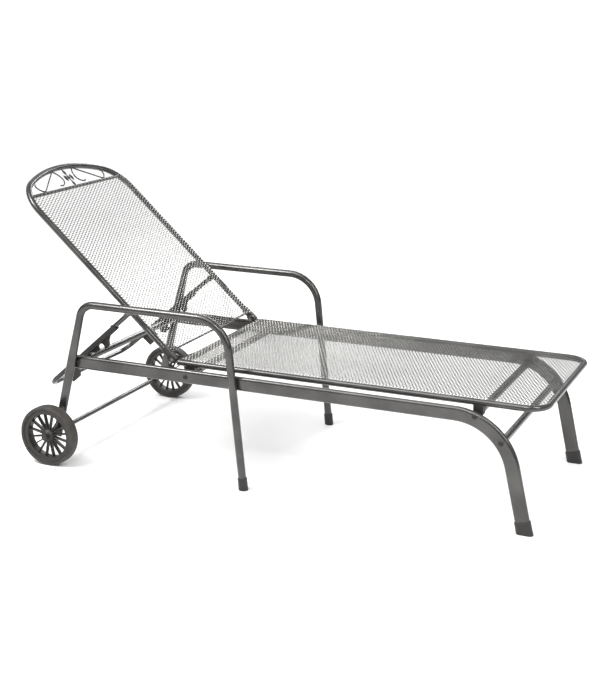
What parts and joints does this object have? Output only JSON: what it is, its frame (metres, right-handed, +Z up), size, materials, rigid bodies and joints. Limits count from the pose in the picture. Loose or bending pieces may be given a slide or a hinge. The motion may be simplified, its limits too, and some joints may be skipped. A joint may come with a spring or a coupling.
{
  "type": "reclining sun lounger",
  "caption": "Steel tube garden lounger with an expanded metal seat, reclining backrest on a notched prop bar, armrests and two wheels.",
  "frame": {"origin": "on the ground under the middle of the overall length and width, backrest up as stored", "axes": "+X towards the foot end, +Y to the left of a person lying on it, +Z up"},
  "size_m": [1.8096, 0.875, 0.9243],
  "materials": {
    "frame_steel": "satin",
    "mesh_steel": "satin",
    "insert_steel": "satin",
    "zinc_steel": "satin",
    "black_plastic": "matte",
    "wheel_plastic": "matte",
    "tyre_plastic": "matte",
    "bush_plastic": "matte"
  },
  "bodies": {
    "frame": {"side_rail_left": "frame_steel", "side_rail_right": "frame_steel", "rail_end_plugs": "black_plastic", "catch_tube": "frame_steel", "seat_support_tube_rear": "frame_steel", "seat_support_tube_front": "frame_steel", "leg_brace_tube": "frame_steel", "cross_tube_inserts": "insert_steel", "rail_bolts": "black_plastic", "arm_loop_left": "frame_steel", "arm_loop_right": "frame_steel", "arm_bolts": "black_plastic", "front_foot_cap_left": "black_plastic", "front_foot_cap_right": "black_plastic", "arm_foot_cap_left": "black_plastic", "arm_foot_cap_right": "black_plastic", "axle_rod": "zinc_steel", "axle_tube": "frame_steel", "axle_spacers": "black_plastic", "axle_caps": "black_plastic", "seat_frame": "frame_steel", "seat_rear_tube": "frame_steel", "seat_mesh": "mesh_steel", "seat_saddle_clips": "black_plastic", "seat_end_plugs": "black_plastic", "seat_corner_gussets": "frame_steel", "hinge_plate_left": "frame_steel", "hinge_plate_right": "frame_steel", "hinge_bolts": "zinc_steel", "hinge_nuts": "zinc_steel"},
    "backrest": {"backrest_frame": "frame_steel", "backrest_crossbar": "frame_steel", "backrest_bottom_rod": "frame_steel", "backrest_mesh": "mesh_steel", "hinge_knuckle_left": "black_plastic", "hinge_knuckle_right": "black_plastic", "scroll_left": "frame_steel", "scroll_right": "frame_steel", "curl_left": "frame_steel", "curl_right": "frame_steel", "leaf_ornament": "frame_steel", "prop_lug_left": "frame_steel", "prop_lug_right": "frame_steel", "prop_bolts": "zinc_steel", "prop_nuts": "zinc_steel"},
    "prop": {"prop_bar": "frame_steel", "notch_plate_left": "black_plastic", "notch_plate_right": "black_plastic", "notch_screws": "zinc_steel"},
    "wheel_body_left": {"wheel_left": "wheel_plastic", "tyre_left": "tyre_plastic", "wheel_bush_left": "bush_plastic"},
    "wheel_body_right": {"wheel_right": "wheel_plastic", "tyre_right": "tyre_plastic", "wheel_bush_right": "bush_plastic"}
  },
  "joints": [
    {"name": "backrest_hinge", "type": "hinge", "parent": "frame", "child": "backrest", "pos_m": [-0.30024, 0, 0.379], "axis": [0, 1, 0], "range_deg": [-42, 0]},
    {"name": "prop_hinge", "type": "hinge", "parent": "backrest", "child": "prop", "pos_m": [-0.46827, 0, 0.50742], "axis": [0, 1, 0], "range_deg": [0, 84.43]},
    {"name": "wheel_spin_left", "type": "hinge", "parent": "frame", "child": "wheel_body_left", "pos_m": [-0.70724, 0.4045, 0.1], "axis": [0, 1, 0], "continuous": true},
    {"name": "wheel_spin_right", "type": "hinge", "parent": "frame", "child": "wheel_body_right", "pos_m": [-0.70724, -0.4045, 0.1], "axis": [0, 1, 0], "continuous": true}
  ],
  "couplings": [
    {"joint": "prop_hinge", "follows": "backrest_hinge", "ratio": -2.0099}
  ]
}
